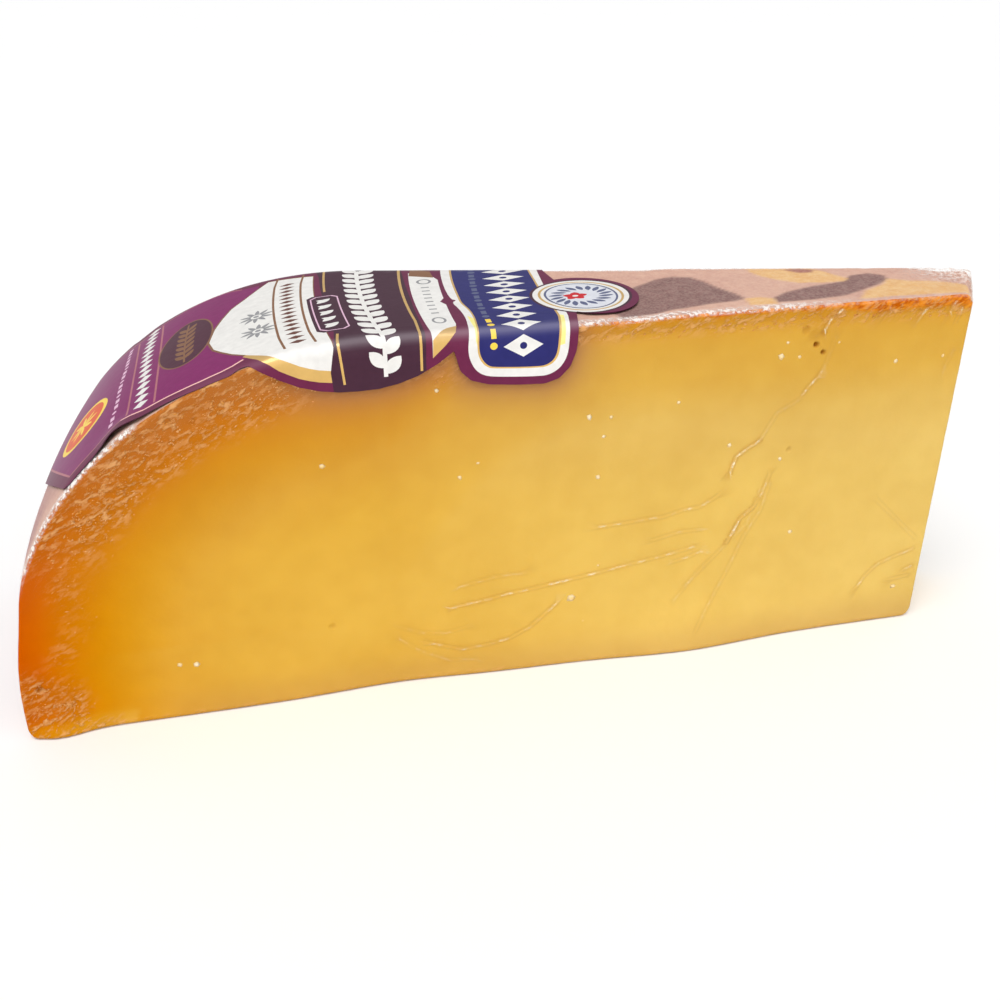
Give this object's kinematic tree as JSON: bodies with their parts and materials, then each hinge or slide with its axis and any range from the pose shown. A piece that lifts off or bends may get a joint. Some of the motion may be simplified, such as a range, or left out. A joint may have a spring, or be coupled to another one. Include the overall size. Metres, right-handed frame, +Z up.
{
  "type": "cheese wedge",
  "caption": "Wedge of washed-rind cheese with a rounded rind shoulder, flat cut faces and a slanted thin tip, in clear film with a paper label folded over its long edges",
  "frame": {"origin": "middle of the bounding box's bottom face, on the plane of the flat base", "axes": "+X from the rind to the thin tip, +Y from the front cut face to the back one, +Z up"},
  "size_m": [0.1464, 0.0452, 0.055],
  "materials": {
    "cheese": "satin",
    "label": "satin"
  },
  "bodies": {
    "root": {"cheese": "cheese", "label": "label"}
  },
  "joints": []
}
